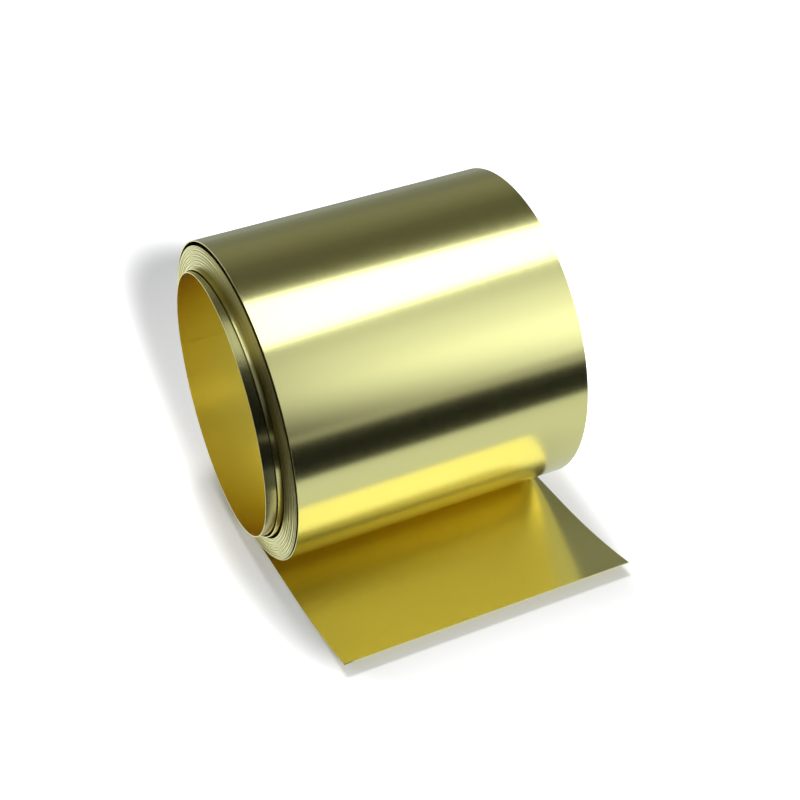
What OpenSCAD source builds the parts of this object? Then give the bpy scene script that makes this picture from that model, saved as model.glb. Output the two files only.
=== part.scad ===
// A coil of thin brass strip, lying on its side with its free end pulled out in front.
// X runs along the coil's axis, Z is up, and the free end lies towards -Y.
// The origin is on the axis of the bore, at the middle of the outermost lap's width.

/* [Strip] */
// Width of the strip, which is the length of the coil
strip_w = 100; // [60:5:200]
// Thickness of the strip
strip_t = 0.3; // [0.2:0.05:0.5]

/* [Wound turns] */
// Diameter of the open bore, inside the innermost lap
bore_d = 88; // [60:1:150]
// Number of turns wound close together
turns = 19; // [6:1:40]
// Slack between one wound turn and the next
turn_slack = 0.09; // [0.05:0.01:0.5]
// How far the outermost of them stands out past the loose outermost lap, at the near end
wound_out = 0.4; // [0:0.1:2]
// How far each wound turn stands out past the turn outside it
turn_slip = 0.05; // [0:0.01:0.3]
// How unevenly the turns line up, to each side of their place
turn_scatter = 0.1; // [0:0.05:0.6]
// Depth to which the gaps between the turns are open, at each end
gap_depth = 2.5; // [1:0.5:6]

/* [Innermost lap, loose in the bore] */
// Room under the innermost lap
inner_gap = 0.8; // [0.3:0.1:4]
// How far it stands out past the outermost lap, at the near end
inner_out = 4.8; // [0:0.1:10]
// How many degrees it is askew, standing out more at the front than at the back
inner_skew = 2.1; // [0:0.1:6]

/* [Second lap, loose round the innermost] */
// Room under the second lap
second_gap = 0.6; // [0.3:0.1:4]
// How far it stands out past the outermost lap, at the near end
second_out = 2.7; // [0:0.1:10]
// How many degrees it is askew, standing out more at the front than at the back
second_skew = 0.3; // [0:0.1:6]

/* [Loose outermost lap] */
// Room over the wound turns, under the top of the outermost lap
outer_gap = 1.4; // [0.6:0.1:4]
// How far the wound turns sit back from the middle of the outermost lap
outer_shift = 0.2; // [0:0.1:0.6]

/* [Free end] */
// Length of the free end that lies flat on the floor
tail_flat = 38; // [20:1:60]
// Length of the free end that curls up past the flat
tail_curved = 42; // [10:1:80]
// Radius to which that end curls
tail_r = 212; // [60:2:400]

/* [Hidden] */
$fn = 180;

// Loose laps are sunk this far into what they rest on, so that the strip is one piece
seat = 0.1;
// Length of the key that is buried in the strip across each place where two stretches of it meet
key_l = 1;
// Even numbers of degrees that scatter the turns without a visible order
scatter_step = 137.5;
// Where each loose lap of the bore rests against the one outside it, in degrees behind the top
inner_rests = [120, 30];
// Room for cutting tools to pass a face
clear = 1;

function sum(list, count, i = 0) = i >= count ? 0 : list[i] + sum(list, count, i + 1);
// Whole hundredths of a millimetre, so that faces that meet have the very same coordinates
function hundredths(point) = [for (c = point) round(c * 100) / 100];

// The loose laps in the bore, from the innermost outwards
inner_gaps = [inner_gap, second_gap];
inner_outs = [inner_out, second_out];
inner_skews = [inner_skew, second_skew];
inner_laps = len(inner_gaps);
bore_r = bore_d / 2;
// Radius of the inner face of loose lap i, counted from the innermost
function inner_r(i) = bore_r + i * (strip_t - seat / 2) + sum(inner_gaps, i) / 2;
// Middle of loose lap i, from the middle of the bore, as [y, z]
function inner_mid(i) = i == 0 ? [0, 0]
    : inner_mid(i - 1) - (inner_gaps[i - 1] + seat) / 2 * [sin(inner_rests[i - 1]), cos(inner_rests[i - 1])];

turn_pitch = strip_t + turn_slack;
wound_r = inner_r(inner_laps);
wound_outer_r = wound_r + (turns - 1) * turn_pitch + strip_t;
lap_r = wound_outer_r + 1.5 * strip_t + outer_gap / 2 - seat;

// Middle of the wound turns and of the outermost lap, from the middle of the bore, as [y, z]
wound_mid = hundredths(inner_mid(inner_laps));
lap_mid = hundredths(wound_mid + [-outer_shift, lap_r - wound_outer_r - 2 * strip_t + 2 * seat]);
floor_z = lap_mid[1] - lap_r;

// Draws a flat shape, given in Y and Z, as a bar of length w along X, centred on x
module along_x(x, w) {
    translate([x - w / 2, 0, 0])
        rotate([90, 0, 90])
            linear_extrude(w)
                children();
}

module ring(r, t) {
    difference() {
        circle(r + t);
        circle(r);
    }
}

// Where wound turn i stands, along X, counted from the innermost: towards the near end
function turn_x(i) = -wound_out - turn_slip * (turns - 1 - i) - turn_scatter * sin(scatter_step * i);

module wound_turns() {
    core_w = strip_w - 2 * gap_depth;
    core_x = (turn_x(0) + turn_x(turns - 1)) / 2;
    translate([0, wound_mid[0], wound_mid[1]]) {
        along_x(core_x, core_w)
            ring(wound_r, wound_outer_r - wound_r);
        for (i = [0 : turns - 1])
            along_x(turn_x(i), strip_w)
                ring(wound_r + i * turn_pitch, strip_t);
    }
}

module key() {
    square([key_l, strip_t / 3], center = true);
}

// Loose lap i of the bore: a true round shell whose two ends are cut askew
module inner_lap(i) {
    mid = inner_mid(i);
    reach = inner_r(i) + strip_t + clear;
    intersection() {
        translate([0, mid[0], mid[1]])
            along_x(-inner_outs[i], strip_w + reach)
                ring(inner_r(i), strip_t);
        translate([-inner_outs[i], mid[0], mid[1]])
            rotate([0, 0, -inner_skews[i]])
                cube([strip_w, 4 * reach, 2 * reach], center = true);
    }
}

// The outermost lap is a spiral of two half rings: the front half ends one strip
// higher than the back half, on top of the free end that leaves from under the coil
module outermost_lap() {
    back = lap_r + clear;
    rise = (strip_t - seat) / 2;
    along_x(0, strip_w)
        translate(lap_mid) {
            intersection() {
                ring(lap_r - strip_t, strip_t);
                translate([0, -back])
                    square([back, 2 * back]);
            }
            translate([0, rise])
                intersection() {
                    ring(lap_r - rise - strip_t, strip_t);
                    translate([-back, -back])
                        square([back, 2 * back]);
                }
            translate([0, lap_r - strip_t / 2])
                key();
        }
}

module free_end() {
    curl_angle = tail_curved / tail_r * 180 / PI;
    along_x(0, strip_w)
        translate([lap_mid[0], floor_z]) {
            translate([-tail_flat, 0])
                square([tail_flat, strip_t]);
            translate([-tail_flat, tail_r])
                intersection() {
                    ring(tail_r - strip_t, strip_t);
                    polygon([
                        [0, 0],
                        [0, -2 * tail_r],
                        [-2 * tail_r * tan(curl_angle), -2 * tail_r],
                    ]);
                }
            for (y = [0, -tail_flat])
                translate([y, strip_t / 2])
                    key();
        }
}

module brass_strip() {
    color("goldenrod") {
        wound_turns();
        for (i = [0 : inner_laps - 1])
            inner_lap(i);
        outermost_lap();
        free_end();
    }
}

brass_strip();
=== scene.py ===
"""A coil of bright brass strip on a pale floor, its free end pulled out in front of it."""
import math

import bmesh
import bpy
from bpy.props import FloatProperty, FloatVectorProperty, IntProperty, PointerProperty
from mathutils import Euler, Matrix, Quaternion, Vector


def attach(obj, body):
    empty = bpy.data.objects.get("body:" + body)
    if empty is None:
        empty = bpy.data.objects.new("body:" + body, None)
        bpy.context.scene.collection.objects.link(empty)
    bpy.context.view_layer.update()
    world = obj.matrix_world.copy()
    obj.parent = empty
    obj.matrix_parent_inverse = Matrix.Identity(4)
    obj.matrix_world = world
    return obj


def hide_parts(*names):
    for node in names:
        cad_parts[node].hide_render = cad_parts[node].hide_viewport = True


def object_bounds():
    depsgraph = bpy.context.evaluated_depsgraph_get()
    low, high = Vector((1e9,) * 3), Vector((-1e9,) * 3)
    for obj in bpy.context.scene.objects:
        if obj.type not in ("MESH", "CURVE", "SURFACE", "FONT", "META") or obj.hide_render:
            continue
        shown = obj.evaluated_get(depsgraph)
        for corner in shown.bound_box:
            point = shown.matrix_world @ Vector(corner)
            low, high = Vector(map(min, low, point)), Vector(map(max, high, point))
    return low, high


bl_info = {
    "name": "Brass strip coil",
    "version": (1, 0, 0),
    "blender": (4, 5, 0),
    "location": "3D View > Sidebar > Coil",
    "description": "Coils a brass strip, lays out its free end and sets a pale studio round it",
    "category": "Add Mesh",
}

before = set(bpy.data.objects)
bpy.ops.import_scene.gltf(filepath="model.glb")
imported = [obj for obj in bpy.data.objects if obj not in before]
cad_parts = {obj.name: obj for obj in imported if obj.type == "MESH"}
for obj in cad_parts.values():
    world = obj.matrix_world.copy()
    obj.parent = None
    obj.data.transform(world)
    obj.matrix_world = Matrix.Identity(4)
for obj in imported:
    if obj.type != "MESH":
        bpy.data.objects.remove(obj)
CAD_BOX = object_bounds()
FLOOR_Z = CAD_BOX[0].z
MM = 0.001

# Steps in a full turn and in the curl of the free end
TURN_STEPS = 256
HALF_STEPS = TURN_STEPS // 2
CURL_STEPS = 24
# Loose laps are sunk this far into what they rest on
SEAT = 0.1 * MM
# Degrees from one turn to the next that scatter the turns without a visible order
SCATTER_STEP = 137.5
# Edges that turn less than this are shaded smooth
SMOOTH_BELOW = math.radians(30)
# Width and length of a rolling line in the brass
LINE_WIDTH = 0.4 * MM
LINE_LENGTH = 25 * MM
# Height of the rolling lines, and the share of it that the light shows
LINE_HEIGHT = 0.02 * MM
LINE_SHARE = 0.05
# Reflections that light needs to get in between the laps and along the bore
BOUNCES = 24
# How far the floor reaches on every side, in metres
FLOOR_REACH = 4.0


def linear(hex_colour):
    """Turns an sRGB hex colour into the linear one that Blender renders with."""
    parts = [int(hex_colour[i:i + 2], 16) / 255 for i in (0, 2, 4)]
    return [c / 12.92 if c <= 0.04045 else ((c + 0.055) / 1.055) ** 2.4 for c in parts]


def length(name, description, millimetres):
    """A size that the sidebar shows in the scene's units."""
    return FloatProperty(
        name=name, description=description, default=millimetres * MM, unit="LENGTH", precision=5
    )


def tint(name, description, hex_colour):
    """A colour that the sidebar shows, given in sRGB hex."""
    return FloatVectorProperty(
        name=name, description=description, default=linear(hex_colour), subtype="COLOR",
        min=0.0, max=1.0,
    )


class StripSizes(bpy.types.PropertyGroup):
    """Sizes of the strip and of the coil that it is wound into"""

    width: length("Width", "Width of the strip, which is the length of the coil", 100)
    thickness: length("Thickness", "Thickness of the strip", 0.3)
    bore: length("Bore", "Diameter of the open bore, inside the innermost lap", 88)
    turns: IntProperty(name="Turns", description="Turns wound close together", default=19, min=2)
    slack: length("Slack", "Slack between one wound turn and the next", 0.09)
    wound_out: length("Turns out", "How far the outermost wound turn stands out", 0.4)
    slip: length("Slip", "How far each wound turn stands out past the one outside it", 0.05)
    scatter: length("Scatter", "How unevenly the turns line up, to each side of their place", 0.1)
    inner_gap: length("Inner gap", "Room under the innermost lap", 0.8)
    inner_out: length("Inner lap out", "How far the innermost lap stands out", 4.8)
    inner_skew: FloatProperty(
        name="Inner skew", description="How far the innermost lap is askew",
        default=math.radians(2.1), subtype="ANGLE",
    )
    second_gap: length("Second gap", "Room under the second lap", 0.6)
    second_out: length("Second lap out", "How far the second lap stands out", 2.7)
    second_skew: FloatProperty(
        name="Second skew", description="How far the second lap is askew",
        default=math.radians(0.3), subtype="ANGLE",
    )
    inner_pinch: length(
        "Inner pinch", "How far the innermost lap draws in at the front of its near end", 1.1
    )
    second_pinch: length(
        "Second pinch", "How far the second lap draws in at the front of its near end", 0.4
    )
    pinch_length: length("Pinch length", "Length over which a loose lap draws in", 12)
    outer_gap: length("Outer gap", "Room over the turns, under the outermost lap", 1.4)
    outer_shift: length("Outer shift", "How far the turns sit back in the outermost lap", 0.2)
    tail_flat: length("Flat of free end", "Length of the free end that lies flat", 38)
    tail_curved: length("Curl of free end", "Length of the free end that curls up", 42)
    tail_radius: length("Curl radius", "Radius to which the free end curls", 212)
    inner_rest: FloatProperty(
        name="Inner rest", description="Where the innermost lap rests, behind the top of the bore",
        default=math.radians(120), subtype="ANGLE",
    )
    second_rest: FloatProperty(
        name="Second rest", description="Where the second lap rests, behind the top of the bore",
        default=math.radians(30), subtype="ANGLE",
    )


class BrassFinish(bpy.types.PropertyGroup):
    """Look of the rolled brass"""

    colour: tint("Brass", "Colour of bare brass strip", "F1E5A1")
    roughness: FloatProperty(
        name="Roughness", description="Roughness of the rolled face", default=0.18, min=0, max=1
    )
    edge_roughness: FloatProperty(
        name="Edge roughness", description="Roughness of the slit edges", default=0.35, min=0, max=1
    )


class StudioSetup(bpy.types.PropertyGroup):
    """Light and floor"""

    floor: tint("Floor", "Colour of the floor", "EDEAEC")
    # Painted shade: the metal reflects the floor in a darker, cooler colour than the camera sees
    floor_shaded_for_metal: tint("Floor in metal", "Colour of the floor where the metal shows it", "A2AFAC")
    room: tint("Room", "Tint of the light that the room gives", "F1FDFE")
    warm: tint("Warm", "Tint of the dim part of the room, above and behind the coil", "F6FDE0")
    box_radiance: FloatProperty(
        name="Softbox", description="Brightness of the overhead softbox", default=3.0, min=0
    )
    box_echo: FloatProperty(
        name="Softbox again", description="Share of it that a second reflection in the metal shows",
        default=0.57, min=0, max=1,
    )
    key_radiance: FloatProperty(
        name="Key light", description="Brightness of the light from the front", default=1.8, min=0
    )
    top_radiance: FloatProperty(
        name="Top light", description="Brightness of the light over the floor", default=2.2, min=0
    )
    bore_card: FloatProperty(
        name="Bore card", description="Brightness of the card in the bore", default=0.63, min=0
    )


def section(bm, width, thickness, radius):
    """Draws the strip's section as one flat face over the X axis, its underside at that radius."""
    made = bmesh.ops.create_grid(bm, x_segments=1, y_segments=1, size=0.5)["verts"]
    bmesh.ops.scale(bm, vec=(width, thickness, 1), verts=made)
    bmesh.ops.rotate(bm, cent=(0, 0, 0), matrix=Matrix.Rotation(math.pi / 2, 3, "X"), verts=made)
    bmesh.ops.translate(bm, vec=(0, 0, radius + thickness / 2), verts=made)
    return made


def wound_turn(whole, width, thickness, radius, centre, out):
    """Spins a closed turn of strip about the X axis and adds it to the whole, in its place."""
    bm = bmesh.new()
    section(bm, width, thickness, radius)
    bmesh.ops.delete(bm, geom=bm.faces[:], context="FACES_ONLY")
    bmesh.ops.spin(
        bm, geom=bm.verts[:] + bm.edges[:], cent=(0, 0, 0), axis=(1, 0, 0), angle=math.tau,
        steps=TURN_STEPS, use_merge=True,
    )
    bmesh.ops.translate(bm, vec=(-out, centre[0], centre[1]), verts=bm.verts[:])
    add_to(whole, bm)


def loose_lap(whole, width, thickness, radius, centre, out, skew, pinch, pinch_length):
    """Winds a loose lap from the back round, askew, and drawn in at the front of its near end."""
    bm = bmesh.new()
    start = section(bm, width, thickness, radius)
    bmesh.ops.rotate(
        bm, cent=(0, 0, 0), matrix=Matrix.Rotation(-math.pi / 2, 3, "X"), verts=start
    )
    # Its second half turn widens it by one strip, so that it ends outside its own start
    stretch(bm, start, [
        ("arc", (0, 0), -math.pi, HALF_STEPS),
        ("arc", (thickness / 2, 0), -math.pi, HALF_STEPS),
    ])
    # Cuts round the lap near its near end let it draw in there bit by bit
    near = -width / 2
    for share in (0.25, 0.5, 0.75, 1):
        bmesh.ops.bisect_plane(
            bm, geom=bm.verts[:] + bm.edges[:] + bm.faces[:],
            plane_co=(near + share * pinch_length, 0, 0), plane_no=(1, 0, 0),
        )
    for vert in bm.verts:
        share = max(0, 1 - (vert.co.x - near) / pinch_length)
        front = max(0, -vert.co.y / radius)
        vert.co.yz *= 1 - pinch * share ** 2 * front / radius
    shear = Matrix.Identity(4)
    shear[0][1] = math.tan(skew)
    bmesh.ops.transform(bm, matrix=shear, verts=bm.verts[:])
    bmesh.ops.translate(bm, vec=(-out, centre[0], centre[1]), verts=bm.verts[:])
    add_to(whole, bm)


def add_to(whole, bm):
    """Adds a finished stretch of strip to the whole."""
    mesh = bpy.data.meshes.new("part")
    bm.to_mesh(mesh)
    bm.free()
    whole.from_mesh(mesh)
    bpy.data.meshes.remove(mesh)


def stretch(bm, start, moves):
    """Runs a length of strip on from its section, through arcs about points and straight runs."""
    face = start[0].link_faces[0]
    last = [face]
    for kind, *how in moves:
        if kind == "arc":
            centre, angle, steps = how
            done = bmesh.ops.spin(
                bm, geom=last, cent=(0, *centre), axis=(1, 0, 0), angle=angle, steps=steps,
            )
            last = [g for g in done["geom_last"] if isinstance(g, bmesh.types.BMFace)]
        else:
            done = bmesh.ops.extrude_face_region(bm, geom=last)
            inside = last
            last = [g for g in done["geom"] if isinstance(g, bmesh.types.BMFace)]
            bmesh.ops.translate(bm, vec=(0, *how[0]), verts=last[0].verts)
            # The face that the run started from is left inside the strip
            bmesh.ops.delete(bm, geom=inside, context="FACES_ONLY")


def coil_layout(s):
    """Radii and middles of the laps, as [y, z] from the middle of the bore."""
    gaps = [s.inner_gap, s.second_gap]
    radii, mids = [s.bore / 2], [Vector((0, 0))]
    for gap, rest in zip(gaps, (s.inner_rest, s.second_rest)):
        radii.append(radii[-1] + s.thickness + (gap - SEAT) / 2)
        mids.append(mids[-1] - (gap + SEAT) / 2 * Vector((math.sin(rest), math.cos(rest))))
    pitch = s.thickness + s.slack
    wound_outer = radii[2] + (s.turns - 1) * pitch + s.thickness
    lap_r = wound_outer + 1.5 * s.thickness + s.outer_gap / 2 - SEAT
    lap_mid = mids[2] + Vector(
        (-s.outer_shift, lap_r - wound_outer - 2 * s.thickness + 2 * SEAT)
    )
    return radii, mids, pitch, lap_r, lap_mid


def node(tree, kind, settings=None, links=None):
    """Adds a node with its settings, and gives its inputs a value or another node's output."""
    made = tree.nodes.new(kind)
    for key, value in (settings or {}).items():
        setattr(made, key, value)
    for key, value in (links or {}).items():
        if isinstance(value, bpy.types.NodeSocket):
            tree.links.new(value, made.inputs[key])
        else:
            made.inputs[key].default_value = value
    return made


def empty_material(name):
    """Starts a material with an empty node tree."""
    material = bpy.data.materials.new(name)
    material.use_nodes = True
    material.node_tree.nodes.clear()
    return material, material.node_tree


def add_object(context, name, bm, material):
    """Makes a finished shape an object of the scene."""
    mesh = bpy.data.meshes.new(name)
    bm.to_mesh(mesh)
    bm.free()
    mesh.materials.append(material)
    made = bpy.data.objects.new(name, mesh)
    context.collection.objects.link(made)
    return made


def rolled_brass(finish):
    """Cold-rolled brass: bright bare metal, with fine rolling lines that run along the strip."""
    material, tree = empty_material("cold_rolled_brass")
    place = node(tree, "ShaderNodeTexCoord").outputs["Object"]
    across = node(
        tree, "ShaderNodeMapping",
        links={"Vector": place, "Scale": (1 / LINE_WIDTH, 1 / LINE_LENGTH, 1 / LINE_LENGTH)},
    )
    lines = node(
        tree, "ShaderNodeTexNoise",
        links={"Vector": across.outputs[0], "Scale": 1.0, "Detail": 3.0, "Roughness": 0.6},
    )
    rough = node(
        tree, "ShaderNodeMapRange",
        links={"Value": lines.outputs["Fac"], "To Min": finish.roughness * 0.8,
               "To Max": finish.roughness * 1.2},
    )
    # The slit edges of the strip, which face along the coil, are duller than its rolled faces
    facing = node(tree, "ShaderNodeNewGeometry").outputs["True Normal"]
    along = node(tree, "ShaderNodeSeparateXYZ", links={0: facing}).outputs["X"]
    edge = node(tree, "ShaderNodeMath", {"operation": "ABSOLUTE"}, {0: along})
    dull = node(
        tree, "ShaderNodeMapRange",
        links={"Value": edge.outputs[0], "From Min": 0.8, "From Max": 0.95,
               "To Min": rough.outputs[0], "To Max": finish.edge_roughness},
    )
    bump = node(
        tree, "ShaderNodeBump",
        links={"Height": lines.outputs["Fac"], "Strength": LINE_SHARE,
               "Distance": LINE_HEIGHT},
    )
    metal = node(
        tree, "ShaderNodeBsdfPrincipled",
        links={"Base Color": (*finish.colour, 1), "Metallic": 1.0,
               "Roughness": dull.outputs[0], "Normal": bump.outputs[0]},
    )
    node(tree, "ShaderNodeOutputMaterial", links={"Surface": metal.outputs[0]})
    return material


class COIL_OT_coil_strip(bpy.types.Operator):
    """Coil the strip, with its loose laps and its free end"""

    bl_idname = "coil.coil_strip"
    bl_label = "Coil the strip"

    def execute(self, context):
        s = context.scene.coil_strip
        w, t = s.width, s.thickness
        radii, mids, pitch, lap_r, lap_mid = coil_layout(s)
        bm = bmesh.new()
        for i in range(s.turns):
            uneven = s.scatter * math.sin(math.radians(SCATTER_STEP * i))
            out = s.wound_out + s.slip * (s.turns - 1 - i) + uneven
            wound_turn(bm, w, t, radii[2] + i * pitch, mids[2], out)
        # How far each loose lap stands out, is askew and draws in
        inner = (s.inner_out, s.inner_skew, s.inner_pinch)
        second = (s.second_out, s.second_skew, s.second_pinch)
        for radius, centre, ways in zip(radii, mids, (inner, second)):
            loose_lap(bm, w, t, radius, centre, *ways, s.pinch_length)
        # The outermost lap starts on top of the free end, goes up in front of the coil and down
        # behind it, and runs on under its own start as the free end
        rise = (t - SEAT) / 2
        lap = bmesh.new()
        start = section(lap, w, t, lap_r - t)
        bmesh.ops.rotate(
            lap, cent=(0, 0, 0), matrix=Matrix.Rotation(math.pi, 3, "X"), verts=start
        )
        bmesh.ops.translate(lap, vec=(0, lap_mid[0], lap_mid[1] + t - SEAT), verts=start)
        floor = lap_mid[1] - lap_r
        curl = s.tail_curved / s.tail_radius
        stretch(lap, start, [
            ("arc", (lap_mid[0], lap_mid[1] + rise), -math.pi, HALF_STEPS),
            ("arc", tuple(lap_mid), -math.pi, HALF_STEPS),
            ("run", (-s.tail_flat, 0)),
            ("arc", (lap_mid[0] - s.tail_flat, floor + s.tail_radius), -curl, CURL_STEPS),
        ])
        add_to(bm, lap)
        bmesh.ops.recalc_face_normals(bm, faces=bm.faces)
        for face in bm.faces:
            face.smooth = True
        for edge in bm.edges:
            edge.smooth = len(edge.link_faces) == 2 and edge.calc_face_angle() < SMOOTH_BELOW
        strip = add_object(context, "strip", bm, rolled_brass(context.scene.coil_finish))
        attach(strip, "root")
        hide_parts("brass_strip")
        return {"FINISHED"}


class COIL_OT_set_studio(bpy.types.Operator):
    """Lay the floor and set the lights and the camera"""

    bl_idname = "coil.set_studio"
    bl_label = "Set the studio"

    def execute(self, context):
        studio = context.scene.coil_studio
        self.room(context, studio)
        self.floor(context, studio)
        self.cards(context, studio)
        self.lights(context, studio)
        self.camera(context)
        context.scene.view_settings.view_transform = "Standard"
        context.scene.cycles.max_bounces = BOUNCES
        context.scene.cycles.glossy_bounces = BOUNCES
        return {"FINISHED"}

    def room(self, context, studio):
        """The room: dark behind the coil and bright in front, and white to the camera."""
        world = context.scene.world or bpy.data.worlds.new("room")
        context.scene.world = world
        world.use_nodes = True
        tree = world.node_tree
        tree.nodes.clear()
        way = node(tree, "ShaderNodeTexCoord").outputs["Generated"]
        parts = node(tree, "ShaderNodeSeparateXYZ", links={0: way}).outputs
        front = node(tree, "ShaderNodeMath", {"operation": "MULTIPLY"}, {0: parts["Y"], 1: -1.0})
        # The way a ray goes, seen along the coil's axis: 0 is up, and a positive angle is in front
        tilt = node(
            tree, "ShaderNodeMath", {"operation": "ARCTAN2"},
            {0: front.outputs[0], 1: parts["Z"]},
        )
        share = node(
            tree, "ShaderNodeMapRange",
            links={"Value": tilt.outputs[0], "From Min": -math.pi, "From Max": math.pi},
        )
        ramp = node(tree, "ShaderNodeValToRGB", links={"Fac": share.outputs[0]})
        # Each stop is an angle in degrees, the brightness there and how warm it is
        stops = [(-180, 0.5, 0), (-110, 0.33, 0), (-85, 0.24, 0), (-75, 0.20, 0.3),
                 (-65, 0.23, 0.7), (-55, 0.21, 0.8), (-35, 0.105, 1), (-26, 0.09, 1),
                 (-18, 0.11, 1), (0, 0.4, 0.3), (32, 0.68, 0), (43, 0.95, 0), (54, 1.12, 0),
                 (64, 1.38, 0), (75, 1.42, 0), (85, 1.32, 0), (95, 1.5, 0), (110, 1.0, 0),
                 (180, 0.5, 0)]
        points = ramp.color_ramp.elements
        while len(points) < len(stops):
            points.new(0.5)
        cool, warm = Vector(studio.room), Vector(studio.warm)
        for point, (angle, bright, warmth) in zip(points, stops):
            point.position = (angle + 180) / 360
            # A colour ramp holds half of the brightness, and the levels below make up for it
            point.color = (*(bright / 2 * cool.lerp(warm, warmth)), 1)
        # The front is dimmer low down and towards the near end of the coil
        lean = node(
            tree, "ShaderNodeMath", {"operation": "MULTIPLY_ADD"},
            {0: parts["X"], 1: 2.9, 2: parts["Z"]},
        )
        high = node(
            tree, "ShaderNodeMapRange", {"interpolation_type": "SMOOTHSTEP"},
            {"Value": lean.outputs[0], "From Min": 0.62, "From Max": 1.6,
             "To Min": 0.05, "To Max": 2.0},
        )
        far_end = node(
            tree, "ShaderNodeMapRange", {"interpolation_type": "SMOOTHSTEP"},
            {"Value": parts["X"], "From Min": 0.1, "From Max": 0.33, "To Min": 0.1, "To Max": 1.05},
        )
        open_front = node(
            tree, "ShaderNodeMath", {"operation": "MULTIPLY"},
            {0: high.outputs[0], 1: far_end.outputs[0]},
        )
        # Above and behind the coil the room has one level from end to end
        behind = node(
            tree, "ShaderNodeMapRange",
            links={"Value": tilt.outputs[0], "From Min": math.radians(15),
                   "From Max": math.radians(35), "To Min": 2.0, "To Max": 0.0},
        )
        level = node(
            tree, "ShaderNodeMath", {"operation": "MAXIMUM"},
            {0: open_front.outputs[0], 1: behind.outputs[0]},
        )
        dim = node(
            tree, "ShaderNodeBackground",
            links={"Color": ramp.outputs["Color"], "Strength": level.outputs[0]},
        )
        white = node(tree, "ShaderNodeBackground", links={"Color": (1, 1, 1, 1)})
        seen = node(tree, "ShaderNodeLightPath").outputs["Is Camera Ray"]
        both = node(
            tree, "ShaderNodeMixShader", links={0: seen, 1: dim.outputs[0], 2: white.outputs[0]}
        )
        node(tree, "ShaderNodeOutputWorld", links={"Surface": both.outputs[0]})

    def floor(self, context, studio):
        """The floor: white paper with the coil's shadow and painted shade, which fades to white
        round it.
        """
        bm = bmesh.new()
        bmesh.ops.create_grid(bm, x_segments=1, y_segments=1, size=FLOOR_REACH)
        bmesh.ops.translate(bm, vec=(0, 0, FLOOR_Z), verts=bm.verts)
        material, tree = empty_material("white_paper_floor")
        ray = node(tree, "ShaderNodeLightPath").outputs
        # Painted shade: rays that the metal reflects see the floor in a darker, cooler colour
        colour = node(
            tree, "ShaderNodeMix", {"data_type": "RGBA"},
            {"Factor": ray["Is Glossy Ray"], "A": (*studio.floor, 1),
             "B": (*studio.floor_shaded_for_metal, 1)},
        )
        paper = node(tree, "ShaderNodeBsdfDiffuse", links={"Color": colour.outputs["Result"]})
        place = node(tree, "ShaderNodeTexCoord").outputs["Object"]
        # The paper's glow grows from the edge of a long rounded rectangle round the coil and its
        # free end, on which the sum of the fourth powers of both coordinates is 1
        scaled = node(
            tree, "ShaderNodeMapping",
            links={"Vector": place, "Location": (0.004, -0.209, 0),
                   "Rotation": (0, 0, math.radians(21)), "Scale": (18.3, 6.64, 0)},
        ).outputs[0]
        square = node(
            tree, "ShaderNodeVectorMath", {"operation": "MULTIPLY"}, {0: scaled, 1: scaled}
        ).outputs[0]
        fourth = node(
            tree, "ShaderNodeVectorMath", {"operation": "DOT_PRODUCT"}, {0: square, 1: square}
        ).outputs["Value"]
        away = node(tree, "ShaderNodeMath", {"operation": "POWER"}, {0: fourth, 1: 0.25})
        # Painted shade: a weak glow inside the rectangle darkens the floor in a soft halo round the
        # coil
        painted_shade_ramp = node(
            tree, "ShaderNodeMapRange", {"interpolation_type": "SMOOTHSTEP"},
            {"Value": away.outputs["Value"], "From Min": 1.0, "From Max": 1.27,
             "To Min": 0.14, "To Max": 0.9},
        )
        seen = node(
            tree, "ShaderNodeMath", {"operation": "MULTIPLY"},
            {0: ray["Is Camera Ray"], 1: painted_shade_ramp.outputs[0]},
        )
        strength = node(
            tree, "ShaderNodeMath", {"operation": "MULTIPLY_ADD"},
            {0: ray["Is Glossy Ray"], 1: 0.3, 2: seen.outputs[0]},
        )
        glow = node(
            tree, "ShaderNodeEmission",
            links={"Color": (1, 1, 1, 1), "Strength": strength.outputs[0]},
        )
        both = node(tree, "ShaderNodeAddShader", links={0: paper.outputs[0], 1: glow.outputs[0]})
        node(tree, "ShaderNodeOutputMaterial", links={"Surface": both.outputs[0]})
        add_object(context, "floor", bm, material)

    def cards(self, context, studio):
        """Cards that only the metal shows, most of them just over the floor; sizes are in metres."""
        low = FLOOR_Z + MM
        bore = studio.bore_card
        # The white band along the coil is the softbox's reflection
        self.card(
            context, "softbox", studio.box_radiance, (0.575, 0.38), (0.306, -0.127, 0.694),
            (0, -30, 2), share=studio.box_echo,
        )
        # The dark band under it is the black card in front, and the grey one lies behind
        self.card(context, "black_card", 0.01, (1.14, 1.661), (-0.461, -0.9695, low), slant=0.29)
        self.card(context, "grey_card", 0.33, (1.6, 2.36), (0.8, 1.32, low))
        # Dark cards and white ones beside the near end: painted shade and painted light on the
        # floor, for the laps and edges that show there
        self.card(context, "left_card", 0.06, (0.3, 0.05), (-0.202, -0.058, low))
        self.card(context, "low_card", 1.1, (0.25, 0.06), (-0.18, 0.0, low))
        self.card(context, "back_card", 1.1, (0.25, 0.25), (-0.18, 0.225, low))
        self.card(context, "near_card", 0.06, (0.3, 0.06), (-0.195, -0.112, low))
        # Across the bore, whose wall they light: a disc, and a brighter card before it
        self.card(
            context, "bore_disc", bore, (0.086, 0.086), (0.02, 0, 0), (0, 90, 0), disc=True
        )
        self.card(
            context, "bore_card", bore * 2.7, (0.032, 0.026), (0.019, -0.022, -0.008), (0, 90, 0)
        )

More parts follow.
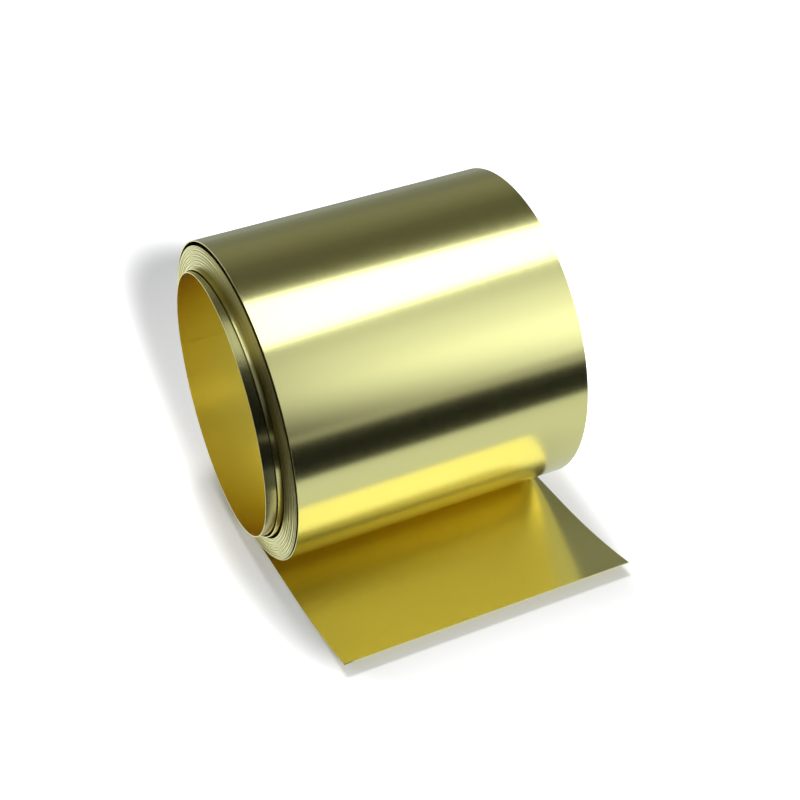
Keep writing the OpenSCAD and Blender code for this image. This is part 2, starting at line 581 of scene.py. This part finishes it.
    def card(
        self, context, name, bright, size, place, angles=(0, 0, 0), slant=0.0, share=1.0, disc=False
    ):
        """Sets up a flat card that glows, of which a second reflection shows only that share."""
        bm = bmesh.new()
        if disc:
            bmesh.ops.create_circle(bm, cap_ends=True, segments=64, radius=0.5)
        else:
            bmesh.ops.create_grid(bm, x_segments=1, y_segments=1, size=0.5)
        bmesh.ops.scale(bm, vec=(*size, 1), verts=bm.verts)
        shear = Matrix.Identity(4)
        shear[0][1] = slant
        turn = Euler([math.radians(a) for a in angles]).to_matrix().to_4x4()
        bmesh.ops.transform(bm, matrix=Matrix.Translation(place) @ turn @ shear, verts=bm.verts)
        material, tree = empty_material(name)
        # Its light is found by following reflections alone, so that their number is right
        material.cycles.emission_sampling = "NONE"
        depth = node(tree, "ShaderNodeLightPath").outputs["Ray Depth"]
        strength = node(
            tree, "ShaderNodeMapRange",
            links={"Value": depth, "From Min": 1.0, "From Max": 2.0, "To Min": bright,
                   "To Max": bright * share},
        )
        cool = (*context.scene.coil_studio.room, 1)
        shade = node(
            tree, "ShaderNodeEmission", links={"Color": cool, "Strength": strength.outputs[0]}
        )
        node(tree, "ShaderNodeOutputMaterial", links={"Surface": shade.outputs[0]})
        card = add_object(context, name, bm, material)
        card.visible_camera = card.visible_diffuse = card.visible_shadow = False

    def lights(self, context, studio):
        """Two lights that only the floor shows, for the coil's shadow: in front and overhead."""
        # Name, radiance, spread in degrees, size, place and turn in degrees
        key = ("key_light", studio.key_radiance, 40, (0.4, 0.4), (-0.21, -1.95, 0.95), (63, 0, -6))
        top = ("top_light", studio.top_radiance, 60, (0.3, 0.25), (0.01, 0.2, 0.7), (-23, 1, 0))
        for name, radiance, spread, (wide, deep), place, angles in (key, top):
            data = bpy.data.lights.new(name, "AREA")
            data.shape = "RECTANGLE"
            data.size, data.size_y = wide, deep
            data.spread = math.radians(spread)
            data.energy = radiance * math.pi * wide * deep
            lamp = bpy.data.objects.new(name, data)
            lamp.location = place
            lamp.rotation_euler = [math.radians(a) for a in angles]
            lamp.visible_glossy = False
            context.collection.objects.link(lamp)

    def camera(self, context):
        """The camera: in front of the coil and past its near end, looking down on it."""
        data = bpy.data.cameras.new("camera")
        data.sensor_width = 36
        data.lens = 73.65
        camera = bpy.data.objects.new("camera", data)
        eye, aim = Vector((-174.1, -430.2, 287.2)) * MM, Vector((-2.3, -24.8, -0.6)) * MM
        look = (aim - eye).to_track_quat("-Z", "Y")
        roll = Quaternion((0, 0, 1), math.radians(-3.9))
        camera.matrix_world = Matrix.LocRotScale(eye, look @ roll, None)
        context.collection.objects.link(camera)
        context.scene.camera = camera


class COIL_PT_panel(bpy.types.Panel):
    """Sizes, finish and studio of the coil"""

    bl_idname = "COIL_PT_panel"
    bl_label = "Brass strip coil"
    bl_space_type = "VIEW_3D"
    bl_region_type = "UI"
    bl_category = "Coil"

    def draw(self, context):
        for group in GROUPS:
            box = self.layout.box()
            settings = getattr(context.scene, group)
            for name in settings.bl_rna.properties.keys():
                if name not in ("rna_type", "name"):
                    box.prop(settings, name)
        for operator in OPERATORS:
            self.layout.operator(operator.bl_idname)


GROUPS = {"coil_strip": StripSizes, "coil_finish": BrassFinish, "coil_studio": StudioSetup}
OPERATORS = (COIL_OT_coil_strip, COIL_OT_set_studio)
CLASSES = (*GROUPS.values(), *OPERATORS, COIL_PT_panel)


def register():
    for cls in CLASSES:
        bpy.utils.register_class(cls)
    for name, group in GROUPS.items():
        setattr(bpy.types.Scene, name, PointerProperty(type=group))


def unregister():
    for name in GROUPS:
        delattr(bpy.types.Scene, name)
    for cls in reversed(CLASSES):
        bpy.utils.unregister_class(cls)


def main():
    register()
    bpy.ops.coil.coil_strip()
    bpy.ops.coil.set_studio()


if __name__ == "__main__":
    main()
